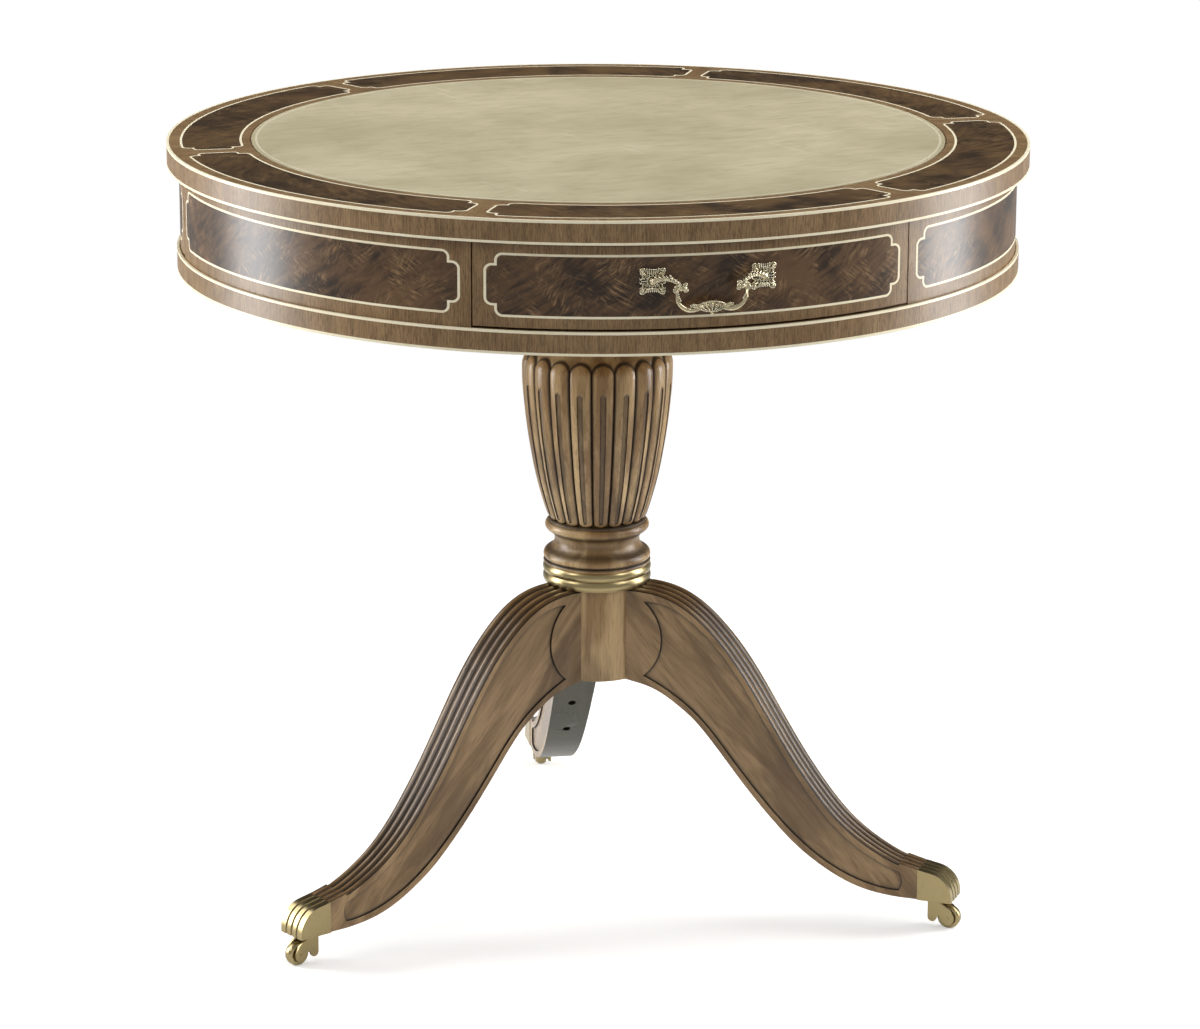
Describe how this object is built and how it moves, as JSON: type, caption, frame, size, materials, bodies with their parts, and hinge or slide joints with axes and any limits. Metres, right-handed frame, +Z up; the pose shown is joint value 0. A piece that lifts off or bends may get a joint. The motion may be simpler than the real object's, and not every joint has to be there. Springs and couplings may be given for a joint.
{
  "type": "drum table",
  "caption": "Round pedestal writing table: revolving drum with leather top, frieze drawers with bail handles, reeded column and sabre legs on casters.",
  "frame": {"origin": "on the floor, on the axis about which the drum turns", "axes": "+Z up, front drawer faces -Y, +X to the right seen from the front"},
  "size_m": [0.838, 0.8409, 0.771],
  "materials": {
    "walnut": "satin, dark glaze in the grooves",
    "crossband": "satin, fine straight grain",
    "flame_veneer": "satin, swirled figure",
    "stringing": "satin",
    "leather": "matt, mottled",
    "inner_wood": "plain",
    "brass": "aged satin",
    "steel": "plain"
  },
  "bodies": {
    "base": {"column": "walnut", "brass_collar": "brass", "leg_block": "walnut", "leg_left": "walnut", "leg_right": "walnut", "leg_rear": "walnut", "cap_left": "brass", "cap_right": "brass", "cap_rear": "brass", "leg_plate": "steel", "plate_screws": "steel", "leg_screws": "steel", "tie_rod": "steel", "tie_rod_nuts": "steel", "bearing_plate_lower": "steel", "bearing_balls": "steel", "bearing_cage": "steel"},
    "drum": {"bearing_plate_upper": "steel", "bearing_screws": "steel", "bottom_board": "inner_wood", "lower_band": "crossband", "edge_stringing": "stringing", "fixed_fronts": "crossband", "fixed_veneers": "flame_veneer", "fixed_stringing": "stringing", "drawer_guides": "inner_wood", "top_board": "crossband", "leather_inset": "leather", "top_veneers": "flame_veneer", "top_stringing": "stringing"},
    "drawer_front": {"drawer_front_front": "crossband", "drawer_front_box": "inner_wood", "drawer_front_bottom": "inner_wood", "drawer_front_veneer": "flame_veneer", "drawer_front_stringing": "stringing", "drawer_front_handle_mounts": "brass"},
    "drawer_right": {"drawer_right_front": "crossband", "drawer_right_box": "inner_wood", "drawer_right_bottom": "inner_wood", "drawer_right_veneer": "flame_veneer", "drawer_right_stringing": "stringing", "drawer_right_handle_mounts": "brass"},
    "drawer_left": {"drawer_left_front": "crossband", "drawer_left_box": "inner_wood", "drawer_left_bottom": "inner_wood", "drawer_left_veneer": "flame_veneer", "drawer_left_stringing": "stringing", "drawer_left_handle_mounts": "brass"},
    "bail_front": {"drawer_front_bail": "brass"},
    "bail_right": {"drawer_right_bail": "brass"},
    "bail_left": {"drawer_left_bail": "brass"},
    "caster_left": {"caster_fork_left": "brass", "caster_axle_left": "brass"},
    "wheel_left": {"caster_wheel_left": "brass"},
    "caster_right": {"caster_fork_right": "brass", "caster_axle_right": "brass"},
    "wheel_right": {"caster_wheel_right": "brass"},
    "caster_rear": {"caster_fork_rear": "brass", "caster_axle_rear": "brass"},
    "wheel_rear": {"caster_wheel_rear": "brass"}
  },
  "joints": [
    {"name": "drum_spin", "type": "hinge", "parent": "base", "child": "drum", "pos_m": [0, 0, 0.6452], "axis": [0, 0, 1], "continuous": true},
    {"name": "drawer_front_slide", "type": "slide", "parent": "drum", "child": "drawer_front", "axis": [0, -1, 0], "range_m": [0, 0.19]},
    {"name": "drawer_right_slide", "type": "slide", "parent": "drum", "child": "drawer_right", "axis": [0.866, 0.5, 0], "range_m": [0, 0.19]},
    {"name": "drawer_left_slide", "type": "slide", "parent": "drum", "child": "drawer_left", "axis": [-0.866, 0.5, 0], "range_m": [0, 0.19]},
    {"name": "bail_front_swing", "type": "hinge", "parent": "drawer_front", "child": "bail_front", "pos_m": [0, -0.4185, 0.7095], "axis": [-1, 0, 0], "range_deg": [-16, 85]},
    {"name": "bail_right_swing", "type": "hinge", "parent": "drawer_right", "child": "bail_right", "pos_m": [0.36243, 0.20925, 0.7095], "axis": [0.5, -0.866, 0], "range_deg": [-16, 85]},
    {"name": "bail_left_swing", "type": "hinge", "parent": "drawer_left", "child": "bail_left", "pos_m": [-0.36243, 0.20925, 0.7095], "axis": [0.5, 0.866, 0], "range_deg": [-16, 85]},
    {"name": "caster_left_swivel", "type": "hinge", "parent": "base", "child": "caster_left", "pos_m": [-0.3261, -0.15485, 0.03], "axis": [0, 0, 1], "continuous": true},
    {"name": "wheel_left_roll", "type": "hinge", "parent": "caster_left", "child": "wheel_left", "pos_m": [-0.3383, -0.16064, 0.0115], "axis": [0.4289, -0.9033, 0], "continuous": true},
    {"name": "caster_right_swivel", "type": "hinge", "parent": "base", "child": "caster_right", "pos_m": [0.29715, -0.20499, 0.03], "axis": [0, 0, 1], "continuous": true},
    {"name": "wheel_right_roll", "type": "hinge", "parent": "caster_right", "child": "wheel_right", "pos_m": [0.30827, -0.21266, 0.0115], "axis": [0.5678, 0.8231, 0], "continuous": true},
    {"name": "caster_rear_swivel", "type": "hinge", "parent": "base", "child": "caster_rear", "pos_m": [0.02895, 0.35984, 0.03], "axis": [0, 0, 1], "continuous": true},
    {"name": "wheel_rear_roll", "type": "hinge", "parent": "caster_rear", "child": "wheel_rear", "pos_m": [0.03003, 0.37329, 0.0115], "axis": [-0.9968, 0.0802, 0], "continuous": true}
  ]
}
